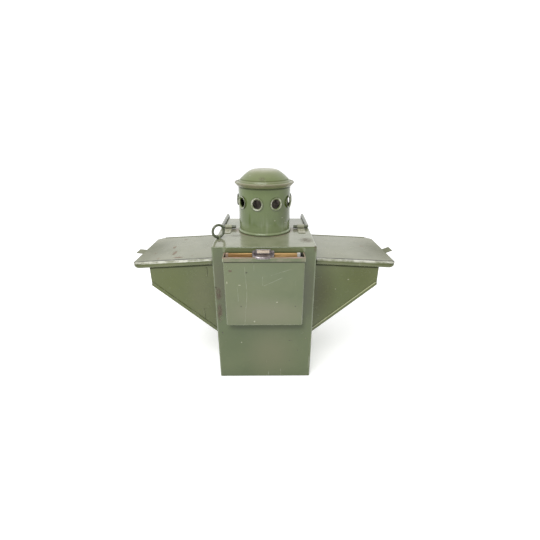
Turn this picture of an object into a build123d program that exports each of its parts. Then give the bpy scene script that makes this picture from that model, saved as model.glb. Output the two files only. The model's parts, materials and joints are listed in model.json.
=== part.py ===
from build123d import *
import math
import os

os.makedirs("parts", exist_ok=True)

# Origin: centre of the casing's footprint on the floor. +X right, +Y back, +Z up, mm.

# Overall sizes
body_width = 200.0
body_depth = 228.0
body_height = 306.0
sheet = 1.2
corner_radius = 3.0

# Clearances
run_fit = 0.06  # pin or rod turning in a bore, per side
slide_gap = 0.4  # pieces that pass each other
rest_gap = 0.3  # a moving piece lying on its stop

half_w = body_width / 2
half_d = body_depth / 2
inner_w = half_w - sheet
inner_d = half_d - sheet

# Chimney drum on the top plate
drum_y = 10.7
drum_radius = 55.4
drum_top = body_height + 98.6
flange_radius = drum_radius + 2.6
vent_count = 9
vent_first_angle = 25.0
vent_radius = 9.5
vent_flare = 2.4
vent_lip = 2.2
vent_height = body_height + 65.8
flue_hole_radius = 46.0
inner_flue_radius = 35.0
brim_radius = drum_radius + 7.3
brim_bead = 1.7

# Wings
wing_reach = half_w + 135.5
wing_front = -78.5
wing_back = 90.5
wing_corner_height = 210.3
wing_foot_height = 90.8
seam_width = 7.0
wing_angle = math.degrees(math.atan2(wing_corner_height - wing_foot_height, wing_reach - half_w))

# Lids
lid_axis_x = half_w + 5.4
lid_axis_z = 264.5
lid_slope = 3.0
lid_sheet_low = 2.8
lid_end = 163.1
lid_front = -84.6
lid_back = 97.0
hinge_barrel = 2.4
hinge_pin = 1.1
knuckle_edges = [-70.0, -40.0, -10.0, 22.0, 52.0, 82.0]
knuckle_gap = 0.4

# Front pocket and its sliding board
pocket_half = half_w - 24.9
pocket_low = 150.6
pocket_high = 295.4
pocket_proud = 27.4
hem_height = 8.0
hem_proud = 1.8
board_thick = 5.5
board_gap = 5.0
board_half = pocket_half - 4.1

# Rear door
door_half = half_w - 20.0
door_low = 30.0
door_high = 235.0
door_lap = 5.0
door_axis_x = 10.0 - half_w

# Carrying handle
rod_radius = 3.5
pivot_y = 16.0
clip_wall = 1.2
pivot_z = body_height + rod_radius + run_fit + clip_wall
arm_x = half_w - 4.0
bar_gap = 23.0  # crossbar's distance behind the casing
arm_drop = 58.0
pivot_inner_x = flange_radius + 6.5
clip_x = half_w - 19.0
clip_width = 15.0

# Lifting ring
ring_x = 7.0 - half_w
ring_y = -59.0
ring_turn = 37.0
ring_rod = 2.5
ring_mean = 12.5
eye_wall = 1.0
eye_clear = 0.5
ring_axis_z = body_height + ring_rod + 0.4

# Tank and burner
tank_half = half_w - 25.0
tank_height = 55.0
tank_y = drum_y
burner_z = sheet + tank_height


def save(shape, name):
    shape.label = name
    export_step(shape, f"parts/{name}.step")


def rivet(plane, radius, height, shank):
    """A domed rivet or screw head on a plane with a short shank behind it."""
    with BuildPart() as piece:
        with BuildSketch(plane):
            Circle(radius)
        extrude(amount=height)
        far = piece.faces().sort_by(Axis(plane.origin, plane.z_dir))[-1]
        fillet(far.edges(), height * 0.8)
        with BuildSketch(plane):
            Circle(radius * 0.45)
        extrude(amount=-shank)
    return piece.part


def rivets(planes, radius, height, shank):
    return Compound(children=[rivet(plane, radius, height, shank) for plane in planes])


# ---------------------------------------------------------------- casing

with BuildPart() as casing_shell:
    with BuildSketch():
        RectangleRounded(body_width, body_depth, corner_radius)
    extrude(amount=body_height)
    fillet(faces().sort_by(Axis.Z)[-1].edges(), 2.2)
    with BuildSketch():
        RectangleRounded(2 * inner_w, 2 * inner_d, corner_radius - sheet)
    extrude(amount=body_height - sheet, mode=Mode.SUBTRACT)
    with BuildSketch(Plane.XY.offset(body_height - 5)):
        with Locations((0, drum_y)):
            Circle(flue_hole_radius)
    extrude(amount=10, mode=Mode.SUBTRACT)
    with BuildSketch(Plane.YZ):
        with Locations((6, 172.5)):
            Rectangle(148, 145)
    extrude(amount=half_w + 5, both=True, mode=Mode.SUBTRACT)
    with BuildSketch(Plane.XZ.offset(-half_d - 5)):
        with Locations((0, (door_low + door_high) / 2)):
            Rectangle(2 * door_half, door_high - door_low)
        with GridLocations(16, 10, 9, 1):
            with Locations((0, 18)):
                Circle(4)
    extrude(amount=10, mode=Mode.SUBTRACT)

with BuildPart() as base_pan:
    with BuildSketch():
        RectangleRounded(2 * inner_w, 2 * inner_d, corner_radius - sheet)
    extrude(amount=10)
    with BuildSketch(Plane.XY.offset(sheet)):
        RectangleRounded(2 * (inner_w - sheet), 2 * (inner_d - sheet), 0.5)
    extrude(amount=10, mode=Mode.SUBTRACT)

for side, name in [(-1, "left"), (1, "right")]:
    with BuildPart() as guide:
        with BuildSketch(Plane.XY.offset(sheet)):
            with Locations((side * (tank_half + 6.6), tank_y)):
                Rectangle(12, 140)
        extrude(amount=sheet)
        with BuildSketch(Plane.XY.offset(sheet)):
            with Locations((side * (tank_half + 1.2), tank_y)):
                Rectangle(sheet, 140)
        extrude(amount=16)
    save(guide.part, f"tank_guide_{name}")

save(casing_shell.part, "casing_shell")
save(base_pan.part, "base_pan")

# ---------------------------------------------------------------- chimney drum and cap

drum_plane = Plane(origin=(0, drum_y, 0), x_dir=(1, 0, 0), z_dir=(0, -1, 0))
drum_axis = Axis((0, drum_y, 0), (0, 0, 1))
vent_angles = [vent_first_angle + k * 360.0 / vent_count for k in range(vent_count)]


def vent_plane(angle, radius):
    turn = math.radians(angle)
    out = (math.sin(turn), -math.cos(turn), 0)
    centre = (radius * out[0], drum_y + radius * out[1], vent_height)
    return Plane(origin=centre, x_dir=(math.cos(turn), math.sin(turn), 0), z_dir=out)


with BuildPart() as flue_drum:
    with BuildSketch(drum_plane):
        with BuildLine():
            Polyline(
                (drum_radius - 1.0, body_height),
                (flange_radius - 2.0, body_height),
                (flange_radius, body_height + 1.4),
                (flange_radius, body_height + 3.2),
                (flange_radius - 1.2, body_height + 4.6),
                (drum_radius, body_height + 5.4),
                (drum_radius, drum_top),
                (drum_radius - 1.0, drum_top),
                close=True,
            )
        make_face()
    revolve(axis=drum_axis)
    for angle in vent_angles:
        with BuildSketch(vent_plane(angle, drum_radius - 2.5)):
            Circle(vent_radius + 1.0)
        extrude(amount=3.4)
        with BuildSketch(vent_plane(angle, drum_radius + 0.9)):
            Circle(vent_radius + 1.0)
        with BuildSketch(vent_plane(angle, drum_radius + vent_lip)):
            Circle(vent_radius + vent_flare + 0.9)
        loft()
    for angle in vent_angles:
        with BuildSketch(vent_plane(angle, drum_radius - 8)):
            Circle(vent_radius)
        extrude(amount=12, mode=Mode.SUBTRACT)
        with BuildSketch(vent_plane(angle, drum_radius + 0.9)):
            Circle(vent_radius)
        with BuildSketch(vent_plane(angle, drum_radius + vent_lip + 0.01)):
            Circle(vent_radius + vent_flare)
        loft(mode=Mode.SUBTRACT)
    with BuildSketch(Plane.XY.offset(body_height)):
        with Locations((0, drum_y)):
            Circle(drum_radius - 1.0)
    extrude(amount=drum_top - body_height, mode=Mode.SUBTRACT)

save(flue_drum.part, "flue_drum")

# outside of the dome, inward from the drum's radius and up from its top
cap_profile = [(1.0, 6.6), (2.4, 9.0), (5.4, 12.6), (14.4, 20.8), (23.3, 27.2), (33.8, 30.9), (44.5, 32.0)]
cap_outer = [(drum_radius - inward, up) for inward, up in cap_profile] + [(0.0, 32.2)]
collar_radius = drum_radius - 1.0 - rest_gap

with BuildPart() as flue_cap:
    with BuildSketch(drum_plane):
        with BuildLine():
            outer = [(r, drum_top + z) for r, z in cap_outer]
            inner = [(r - 0.9 if r > 0 else 0.0, drum_top + z - 1.3) for r, z in cap_outer]
            top_line = Spline(*outer, tangents=[(-0.35, 0.94), (-1, 0)])
            under_line = Spline(*inner, tangents=[(-0.35, 0.94), (-1, 0)])
            Line(top_line @ 1, under_line @ 1)
            Polyline(
                under_line @ 0, (collar_radius - 0.9, drum_top + 5.3), (collar_radius - 0.9, drum_top),
                (drum_radius + 0.7, drum_top), (drum_radius + 0.7, drum_top - 1.8),
                (drum_radius + 1.8, drum_top - 2.0), (brim_radius - 1.0, drum_top + 3.4),
                (brim_radius - 1.6, drum_top + 5.4), (drum_radius + 1.4, drum_top + 4.8),
                (drum_radius - 0.2, drum_top + 5.9), top_line @ 0,
            )
        make_face()
    revolve(axis=drum_axis)
    with BuildSketch(drum_plane):
        with Locations((brim_radius - brim_bead, drum_top + 4.9)):
            Circle(brim_bead)
    revolve(axis=drum_axis)
    with BuildSketch(drum_plane):
        with Locations((collar_radius - 0.45, drum_top - 2.3)):
            Rectangle(0.9, 6.6)
    revolve(axis=drum_axis)

save(flue_cap.part, "flue_cap")

with BuildPart() as inner_flue:
    with BuildSketch(Plane.XY.offset(body_height - 14)):
        with Locations((0, drum_y)):
            Circle(inner_flue_radius)
            Circle(inner_flue_radius - 1.0, mode=Mode.SUBTRACT)
    extrude(amount=106)
    with BuildSketch(Plane.XY.offset(body_height - sheet - 1.0)):
        with Locations((0, drum_y)):
            Circle(flue_hole_radius + 8)
            Circle(inner_flue_radius - 0.5, mode=Mode.SUBTRACT)
    extrude(amount=1.0)

save(inner_flue.part, "inner_flue")

# ---------------------------------------------------------------- wings

slope = math.tan(math.radians(wing_angle))
rise = sheet / math.cos(math.radians(wing_angle))
lid_fall = math.tan(math.radians(lid_slope))


def lid_under(x):
    """Height of the closed lid's underside at a distance x from the middle."""
    return lid_axis_z + lid_sheet_low / math.cos(math.radians(lid_slope)) - (x - lid_axis_x) * lid_fall


def wing_outline(inset, low):
    """Front profile of a wing, inset from its outer wall, raised off its sloping floor."""
    reach = wing_reach - inset
    low_in = wing_foot_height + low
    low_out = wing_foot_height + (reach - half_w) * slope + low
    notch = half_w + 12
    return [
        (half_w, low_in),
        (reach, low_out),
        (reach, lid_under(reach) - slide_gap),
        (notch, lid_under(notch) - slide_gap),
        (notch, 258.0),
        (half_w, 258.0),
    ]


def wing_plane(y):
    return Plane(origin=(0, y, 0), x_dir=(1, 0, 0), z_dir=(0, -1, 0))


def wing_box(with_tabs):
    with BuildPart() as piece:
        with BuildSketch(wing_plane(wing_back)):
            Polygon(*wing_outline(0, rise), align=None)
        extrude(amount=wing_back - wing_front)
        with BuildSketch(wing_plane(wing_back - sheet)):
            Polygon((half_w - 5, 40), (wing_reach - sheet, 40), (wing_reach - sheet, 290),
                    (half_w - 5, 290), align=None)
        extrude(amount=wing_back - wing_front - 2 * sheet, mode=Mode.SUBTRACT)
        for y in (wing_front + sheet + 4, wing_back - sheet - 4):
            with BuildSketch(Plane.XY.offset(110)):
                with Locations((half_w + sheet / 2, y)):
                    Rectangle(sheet, 8)
            extrude(amount=134)
        if with_tabs:
            for x, z, tall in ((half_w + 19.5, 241, 18), (half_w + 31.5, 142, 24)):
                with BuildSketch(wing_plane(wing_front)):
                    with Locations((x, z)):
                        Rectangle(2.4, tall)
                extrude(amount=1.1)
                with BuildSketch(wing_plane(wing_front + sheet)):
                    with Locations((x - 1.2, z)):
                        Rectangle(1.2, tall)
                extrude(amount=-3.0)
    return piece.part


def wing_bottom():
    """Sloping floor sheet with seams folded over the outside of the walls."""
    tilt = math.radians(wing_angle)
    across = (math.cos(tilt), 0, math.sin(tilt))
    up = (-math.sin(tilt), 0, math.cos(tilt))
    length = (wing_reach - half_w) / math.cos(tilt)
    floor_plane = Plane(origin=(half_w, 0, wing_foot_height), x_dir=across, z_dir=up)
    with BuildPart() as piece:
        with BuildSketch(floor_plane):
            with Locations((length / 2, (wing_front + wing_back) / 2)):
                Rectangle(length + 12, wing_back - wing_front + 2 * sheet)
        extrude(amount=sheet)
        for y in (wing_front - sheet / 2, wing_back + sheet / 2):
            with BuildSketch(floor_plane):
                with Locations((length / 2 - 1, y)):
                    Rectangle(length + 8, sheet)
            extrude(amount=seam_width)
        with BuildSketch(Plane.XY.offset(40)):
            with Locations((half_w - 10, 6)):
                Rectangle(20, 250)
        extrude(amount=240, mode=Mode.SUBTRACT)
        with BuildSketch(Plane.XY.offset(40)):
            with Locations((wing_reach + 10, 6)):
                Rectangle(20, 250)
        extrude(amount=240, mode=Mode.SUBTRACT)
    return piece.part


save(wing_box(False), "right_wing_box")
save(mirror(wing_box(True), about=Plane.YZ), "left_wing_box")
save(wing_bottom(), "right_wing_bottom")
save(mirror(wing_bottom(), about=Plane.YZ), "left_wing_bottom")

guard_low = (half_w + 33.4, 128.0)
guard_high = (half_w + 19.4, 248.0)
guard_length = math.hypot(guard_high[0] - guard_low[0], guard_high[1] - guard_low[1])
guard_up = ((guard_high[0] - guard_low[0]) / guard_length, 0, (guard_high[1] - guard_low[1]) / guard_length)
guard_plane = Plane(
    origin=(guard_low[0] + 0.8, (wing_front + wing_back) / 2, guard_low[1]),
    x_dir=(0, 1, 0),
    z_dir=(guard_up[2], 0, -guard_up[0]),
)

with BuildPart() as wing_guard:
    with BuildSketch(guard_plane):
        with Locations((0, guard_length / 2)):
            Rectangle(wing_back - wing_front - 2 * sheet - 0.4, guard_length)
            with GridLocations(26, 22, 6, 5):
                SlotOverall(16, 6, mode=Mode.SUBTRACT)
    extrude(amount=1.0)

save(mirror(wing_guard.part, about=Plane.YZ), "left_wing_guard")

# ---------------------------------------------------------------- lids and their hinges

lid_cos = math.cos(math.radians(lid_slope))
lid_sin = math.sin(math.radians(lid_slope))
lid_origin = (lid_axis_x, 0, lid_axis_z)
lid_plane = Plane(origin=lid_origin, x_dir=(lid_cos, 0, -lid_sin), z_dir=(lid_sin, 0, lid_cos))


def lid_side_plane(y):
    """Cross-section plane of the hinge at a distance y, looking back along +Y."""
    return Plane(origin=(lid_axis_x, y, lid_axis_z), x_dir=(1, 0, 0), z_dir=(0, 1, 0))


def lid(tab_tilt):
    corner = 14.0
    roll = 6.25
    front_half = 2.7
    path_y = lid_front + front_half
    bend = corner - front_half
    with BuildPart() as piece:
        with BuildSketch(lid_plane.offset(lid_sheet_low)):
            with BuildLine():
                Polyline((lid_end, path_y + bend), (lid_end, lid_back - 14), (lid_end - 14, lid_back - 2),
                         (-1.6, lid_back - 2), (-1.6, path_y), (lid_end - corner, path_y))
                Line((lid_end - corner, path_y), (lid_end, path_y + bend))
            make_face()
            with Locations((lid_end - corner, path_y + bend)):
                Circle(corner)
        extrude(amount=sheet)
        # rolled front edge, carried round the outer corner
        with BuildLine(lid_plane.offset(-1.05)):
            straight = Line((0.5, path_y), (lid_end - corner, path_y))
            CenterArc((lid_end - corner, path_y + bend), bend, -90, 84)
        with BuildSketch(Plane(origin=straight @ 0, x_dir=(0, 1, 0), z_dir=straight % 0)):
            with Locations((roll - front_half, 0)):
                Circle(roll)
            # only the top of the roll lies over the sheet, so the wing's wall passes below it
            with Locations((front_half + 10, 3.9 - 15)):
                Rectangle(20, 30, mode=Mode.SUBTRACT)
        sweep()
        # rolled rear edge
        with BuildLine(lid_plane.offset(0.6)):
            rear = Line((0.5, lid_back - 2.4), (lid_end - 16, lid_back - 2.4))
        with BuildSketch(Plane(origin=rear @ 0, x_dir=(0, 1, 0), z_dir=rear % 0)):
            RectangleRounded(4.8, 8.8, 2.2)
        sweep()
        # finger tab
        tilt = math.radians(tab_tilt - lid_slope)
        mid = lid_sheet_low + sheet / 2
        root = lid_plane.from_local_coords((lid_end - 1.5, 0, mid))
        root = root + Vector(0, -8, 0)
        tab_plane = Plane(origin=root, x_dir=(math.cos(tilt), 0, math.sin(tilt)),
                          z_dir=(-math.sin(tilt), 0, math.cos(tilt)))
        with BuildSketch(tab_plane):
            with Locations((8.0, 0)):
                Rectangle(16.0, 24)
        extrude(amount=0.5, both=True)
        # moving knuckles
        for low, high in zip(knuckle_edges[1::2], knuckle_edges[2::2]):
            with BuildSketch(lid_side_plane(low + knuckle_gap / 2)):
                Circle(hinge_barrel)
                with Locations((0, -1.6)):
                    Rectangle(2.4, 3.2)
            extrude(amount=high - low - knuckle_gap)
            with BuildSketch(lid_side_plane(low - 1)):
                Circle(hinge_pin + run_fit)
            extrude(amount=high - low + 2, mode=Mode.SUBTRACT)
    return piece.part


def hinge_leaf():
    with BuildPart() as piece:
        with BuildSketch(Plane.XY.offset(246.5)):
            with Locations((half_w + 0.5, 6)):
                Rectangle(1.0, 152)
        extrude(amount=17.0)
        for low, high in zip(knuckle_edges[0::2], knuckle_edges[1::2]):
            with BuildSketch(lid_side_plane(low + knuckle_gap / 2)):
                Circle(hinge_barrel)
                with Locations((-2.7, 1.9)):
                    Rectangle(5.4, 1.0)
            extrude(amount=high - low - knuckle_gap)
            with BuildSketch(lid_side_plane(low - 1)):
                Circle(hinge_pin)
            extrude(amount=high - low + 2, mode=Mode.SUBTRACT)
    return piece.part


def lid_pin():
    with BuildPart() as piece:
        with BuildSketch(lid_side_plane(knuckle_edges[0])):
            Circle(hinge_pin)
        extrude(amount=knuckle_edges[-1] - knuckle_edges[0])
    return piece.part


save(lid(25.0), "right_lid")
save(mirror(lid(10.0), about=Plane.YZ), "left_lid")
save(hinge_leaf(), "right_hinge_leaf")
save(mirror(hinge_leaf(), about=Plane.YZ), "left_hinge_leaf")
save(lid_pin(), "right_hinge_pin")
save(mirror(lid_pin(), about=Plane.YZ), "left_hinge_pin")

# ---------------------------------------------------------------- front pocket

pocket_front = -half_d - pocket_proud

with BuildPart() as front_pocket:
    with BuildSketch(Plane.XZ.offset(half_d)):
        with Locations((0, (pocket_low + pocket_high) / 2)):
            Rectangle(2 * pocket_half, pocket_high - pocket_low)
    extrude(amount=pocket_proud)
    fillet(edges().filter_by(Axis.Z).sort_by(Axis.Y)[:2], 3.0)
    fillet(faces().sort_by(Axis.Z)[0].edges().sort_by(Axis.Y)[0:1], 3.0)
    with BuildSketch(Plane.XZ.offset(half_d)):
        with Locations((0, (pocket_low + pocket_high) / 2 + 10)):
            Rectangle(2 * (pocket_half - sheet), pocket_high - pocket_low - 2 * sheet + 20)
    extrude(amount=pocket_proud - sheet, mode=Mode.SUBTRACT)
    with BuildSketch(Plane.XY.offset(pocket_high - hem_height)):
        with Locations((0, pocket_front + 14.5 - hem_proud / 2)):
            Rectangle(2 * pocket_half + 1.6, 29.0 + hem_proud)
        with Locations((0, pocket_front + 16)):
            Rectangle(2 * pocket_half - 2 * sheet, 32 - 2 * sheet, mode=Mode.SUBTRACT)
    extrude(amount=hem_height)
    with BuildSketch(Plane.XZ.offset(half_d)):
        for side in (-1, 1):
            with Locations((side * (pocket_half - sheet - 4.5), (pocket_low + pocket_high) / 2)):
                Rectangle(10, pocket_high - pocket_low - 4)
    extrude(amount=sheet)
    with BuildSketch(Plane.XZ.offset(half_d - 20)):
        with Locations((0, 220)):
            Rectangle(200, 200)
    extrude(amount=20, mode=Mode.SUBTRACT)

save(front_pocket.part, "front_pocket")

# ---------------------------------------------------------------- sliding board with its pull

board_back = -half_d - sheet - board_gap
board_front = board_back - board_thick
board_low = pocket_low + sheet + rest_gap
board_top = 296.4
pull_half = 20.5
pull_x = -1.5
plate_thick = 2.2
cap_reach = 10.0

with BuildPart() as slide_board:
    with BuildSketch(Plane.XZ.offset(-board_back)):
        with Locations((0, (board_low + board_top) / 2)):
            Rectangle(2 * board_half, board_top - board_low)
    extrude(amount=board_thick)


def end_cap(side, reach, name):
    """Folded sheet channel over one end of the board."""
    outer_x = board_half + 0.8
    with BuildPart() as piece:
        with BuildSketch(Plane.XY.offset(board_low)):
            with Locations((side * (outer_x - reach / 2), (board_back + board_front) / 2)):
                Rectangle(reach, board_thick + 0.6)
            with Locations((side * (board_half - reach / 2 - 1), (board_back + board_front) / 2)):
                Rectangle(reach + 2, board_thick, mode=Mode.SUBTRACT)
        extrude(amount=board_top - board_low)
        with BuildSketch(Plane.XY.offset(board_top)):
            with Locations((side * (outer_x - reach / 2), (board_back + board_front) / 2)):
                Rectangle(reach, board_thick + 0.6)
        extrude(amount=0.6)
    save(piece.part, name)


end_cap(1, cap_reach, "slide_end_cap_right")
end_cap(-1, 5.0, "slide_end_cap_left")

frame_low = 285.0
cup_top = 297.6
cup_wall = 1.0
cup_round = 3.2
cup_drop = 4.2
cup_nose = 9.0  # half-ellipse at the front of the cup
cup_overhang = 2.8  # the cup's front beyond the pocket's lip
cup_centre_y = pocket_front - hem_proud - cup_overhang + cup_nose
cup_straight = board_front - cup_centre_y
card_low = cup_top + 1.4
card_high = 305.2
screw_offset = 17.0
screw_z = 300.2
card_mid = (card_low + card_high) / 2

with BuildPart() as card_frame:
    with BuildSketch(Plane.XZ.offset(-board_front)):
        with Locations((pull_x, (frame_low + screw_z) / 2)):
            Rectangle(2 * pull_half, screw_z - frame_low)
        with Locations((pull_x, (frame_low + card_high) / 2)):
            Rectangle(28, card_high - frame_low + 1.6)
        with Locations((pull_x - screw_offset, screw_z), (pull_x + screw_offset, screw_z)):
            Circle(pull_half - screw_offset)
    extrude(amount=plate_thick)
    with BuildSketch(Plane.XZ.offset(-board_front + plate_thick)):
        with Locations((pull_x, card_mid)):
            Rectangle(28, card_high - card_low + 1.6)
            Rectangle(23, card_high - card_low, mode=Mode.SUBTRACT)
    extrude(amount=1.4)
    with BuildSketch(Plane.XZ.offset(-board_front + plate_thick)):
        with Locations((pull_x, card_mid + 2)):
            Rectangle(24.6, card_high - card_low + 6)
    extrude(amount=0.6, mode=Mode.SUBTRACT)

with BuildPart() as name_card:
    with BuildSketch(Plane.XZ.offset(-board_front + plate_thick)):
        with Locations((pull_x, card_mid)):
            Rectangle(24.2, card_high - card_low + 0.4)
    extrude(amount=0.5)

screw_planes = [
    Plane(origin=(pull_x + x, board_front - plate_thick, screw_z), x_dir=(1, 0, 0), z_dir=(0, -1, 0))
    for x in (-screw_offset, screw_offset)
]
frame_screws = rivets(screw_planes, 2.3, 1.2, plate_thick - 0.2)

save(card_frame.part - frame_screws, "card_frame")
save(slide_board.part, "slide_board")
save(name_card.part, "name_card")
save(frame_screws, "frame_screws")


def hood(grow):
    """Half-round plan of the finger cup, a straight part and a half ellipse."""
    with BuildSketch(Plane.XY.offset(cup_top - cup_drop)) as plan:
        with Locations((pull_x, cup_centre_y)):
            Ellipse(pull_half + grow, cup_nose + grow)
        with Locations((pull_x, cup_centre_y + 20)):
            Rectangle(2 * (pull_half + grow) + 5, 40, mode=Mode.SUBTRACT)
        with Locations((pull_x, cup_centre_y + cup_straight / 2)):
            Rectangle(2 * (pull_half + grow), cup_straight)
    return plan.sketch


with BuildPart() as cup_inside:
    add(hood(-cup_wall))
    extrude(amount=cup_drop - cup_wall)
    fillet(faces().sort_by(Axis.Z)[-1].edges().sort_by(Axis.Y)[0:1], cup_round - cup_wall)

with BuildPart() as cup_pull:
    add(hood(0.0))
    extrude(amount=cup_drop)
    fillet(faces().sort_by(Axis.Z)[-1].edges().sort_by(Axis.Y)[0:1], cup_round)
    add(cup_inside.part, mode=Mode.SUBTRACT)
    # clear of the pocket's lip, which the cup hooks over
    with BuildSketch(Plane.XY.offset(cup_top - 20)):
        with Locations((pull_x, pocket_front + 20 - hem_proud - slide_gap)):
            Rectangle(60, 40)
    extrude(amount=20 - 1.6, mode=Mode.SUBTRACT)
    with BuildSketch(Plane.XY.offset(cup_top - 20)):
        with Locations((pull_x, board_front + 20 - plate_thick)):
            Rectangle(60, 40)
    extrude(amount=40, mode=Mode.SUBTRACT)
    with BuildSketch(Plane.XZ.offset(-board_front + plate_thick)):
        with Locations((pull_x, cup_top - 5)):
            Rectangle(2 * pull_half - 1, 10)
    extrude(amount=1.0)

save(cup_pull.part, "cup_pull")


# ---------------------------------------------------------------- carrying handle

arm_end_y = half_d + bar_gap
arm_end_z = pivot_z - 1.0

with BuildPart() as bail_handle:
    with BuildLine() as bail_path:
        FilletPolyline(
            (-pivot_inner_x, pivot_y, pivot_z),
            (-arm_x, pivot_y, pivot_z),
            (-arm_x, arm_end_y, arm_end_z),
            (-arm_x, arm_end_y, arm_end_z - arm_drop),
            (arm_x, arm_end_y, arm_end_z - arm_drop),
            (arm_x, arm_end_y, arm_end_z),
            (arm_x, pivot_y, pivot_z),
            (pivot_inner_x, pivot_y, pivot_z),
            radius=5.0,
        )
    with BuildSketch(Plane(origin=bail_path.line @ 0, z_dir=bail_path.line % 0)):
        Circle(rod_radius)
    sweep(path=bail_path.line)

save(bail_handle.part, "bail_handle")


def handle_clip(side):
    """Strap wrapped round the handle's end, with a riveted tongue in front."""
    near_x = side * clip_x - clip_width / 2
    side_plane = Plane(origin=(near_x, pivot_y, pivot_z), x_dir=(0, 1, 0), z_dir=(1, 0, 0))
    bore = rod_radius + run_fit
    with BuildPart() as piece:
        with BuildSketch(side_plane):
            Circle(bore + clip_wall)
            with Locations((-19.0, -bore - clip_wall / 2)):
                Rectangle(38.0, clip_wall)
            Circle(bore, mode=Mode.SUBTRACT)
        extrude(amount=clip_width)
        tongue_edges = piece.edges().filter_by(Axis.Z).sort_by(Axis.Y)[:2]
        fillet(tongue_edges, 1.2)
    return piece.part


clip_rivet_y = -6.0
clip_planes = [Plane(origin=(side * clip_x, clip_rivet_y, body_height + clip_wall)) for side in (-1, 1)]
clip_rivets = rivets(clip_planes, 3.0, 1.6, clip_wall + sheet + 0.6)

# ---------------------------------------------------------------- lifting ring

ring_turn_rad = math.radians(ring_turn)
ring_along = (math.cos(ring_turn_rad), math.sin(ring_turn_rad), 0)
ring_normal = (-math.sin(ring_turn_rad), math.cos(ring_turn_rad), 0)
ring_centre = (ring_x, ring_y, ring_axis_z + ring_mean)

with BuildPart() as lifting_ring:
    with BuildSketch(Plane(origin=ring_centre, x_dir=ring_along, z_dir=(0, 0, 1))):
        with Locations((ring_mean, 0)):
            Circle(ring_rod)
    revolve(axis=Axis(ring_centre, ring_normal))

save(lifting_ring.part, "lifting_ring")

# strap bridging over the foot of the ring, with an ear on each side
eye_plane = Plane(
    origin=(ring_x - 2.0 * ring_along[0], ring_y - 2.0 * ring_along[1], ring_axis_z),
    x_dir=ring_normal,
    z_dir=ring_along,
)

with BuildPart() as ring_eye:
    bore = ring_rod + eye_clear
    ear = 13.0
    foot = body_height - ring_axis_z
    with BuildSketch(eye_plane):
        Circle(bore + eye_wall)
        with Locations((0, -(bore + eye_wall) / 2)):
            Rectangle(2 * (bore + eye_wall), bore + eye_wall)
        with Locations((0, foot + eye_wall / 2)):
            Rectangle(ear, eye_wall)
        Circle(bore, mode=Mode.SUBTRACT)
        with Locations((0, -bore)):
            Rectangle(2 * bore, 2 * bore, mode=Mode.SUBTRACT)
        with Locations((0, foot - 5)):
            Rectangle(30, 10, mode=Mode.SUBTRACT)
    extrude(amount=4.0)

save(ring_eye.part, "ring_eye")

save(handle_clip(-1) - clip_rivets, "handle_clip_left")
save(handle_clip(1) - clip_rivets, "handle_clip_right")
save(casing_shell.part - clip_rivets, "casing_shell")
save(clip_rivets, "clip_rivets")

# ---------------------------------------------------------------- rear door

door_y = half_d + 0.4
door_hinge_y = half_d + 3.4
door_knuckles = [50.0, 80.0, 110.0, 155.0, 185.0, 215.0]


def upright(x, y, z):
    return Plane(origin=(x, y, z))


with BuildPart() as door_hinge_leaf:
    with BuildSketch(Plane.XZ.offset(-half_d)):
        with Locations((door_axis_x - 4.1, 132.5)):
            Rectangle(5.8, 165)
    extrude(amount=-1.0)
    for low, high in zip(door_knuckles[0::2], door_knuckles[1::2]):
        with BuildSketch(upright(door_axis_x, door_hinge_y, low + knuckle_gap / 2)):
            Circle(hinge_barrel)
            with Locations((-1.8, -1.9)):
                Rectangle(1.2, 3.0)
        extrude(amount=high - low - knuckle_gap)
    with BuildSketch(upright(door_axis_x, door_hinge_y, 40)):
        Circle(hinge_pin)
    extrude(amount=190, mode=Mode.SUBTRACT)

with BuildPart() as door_hinge_pin:
    with BuildSketch(upright(door_axis_x, door_hinge_y, door_knuckles[0])):
        Circle(hinge_pin)
    extrude(amount=door_knuckles[-1] - door_knuckles[0])

door_left = door_axis_x + 5.0
door_right = door_half + door_lap
knob_x = door_half - 10.0
knob_z = 132.5

with BuildPart() as rear_door:
    with BuildSketch(Plane.XZ.offset(-door_y)):
        with Locations(((door_left + door_right) / 2, (door_low + door_high) / 2)):
            RectangleRounded(door_right - door_left, door_high - door_low + 2 * door_lap, 4)
    extrude(amount=-sheet)
    # stiffening bead pressed outward round the panel
    with BuildSketch(Plane.XZ.offset(-door_y - sheet)):
        with Locations(((door_left + door_right) / 2, (door_low + door_high) / 2)):
            RectangleRounded(2 * door_half - 30, 170, 8)
            RectangleRounded(2 * door_half - 38, 162, 5, mode=Mode.SUBTRACT)
    extrude(amount=-1.2)
    for low, high in zip(door_knuckles[1::2], door_knuckles[2::2]):
        with BuildSketch(upright(door_axis_x, door_hinge_y, low + knuckle_gap / 2)):
            Circle(hinge_barrel)
            with Locations((3.2, -2.4)):
                Rectangle(6.4, sheet)
        extrude(amount=high - low - knuckle_gap)
    with BuildSketch(upright(door_axis_x, door_hinge_y, 40)):
        Circle(hinge_pin + run_fit)
    extrude(amount=190, mode=Mode.SUBTRACT)

with BuildPart() as door_knob:
    with BuildSketch(Plane(origin=(knob_x, door_y + sheet, knob_z), x_dir=(1, 0, 0), z_dir=(0, 0, 1))):
        with BuildLine():
            Polyline((0, 0), (4, 0), (4, 5), (7, 7), (8, 10), (7, 13), (4, 14.5), (0, 15), close=True)
        make_face()
    revolve(axis=Axis((knob_x, 0, knob_z), (0, 1, 0)))
    with BuildSketch(Plane.XZ.offset(-door_y - sheet)):
        with Locations((knob_x, knob_z)):
            Circle(2.0)
    extrude(amount=sheet + 1.2)

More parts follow.
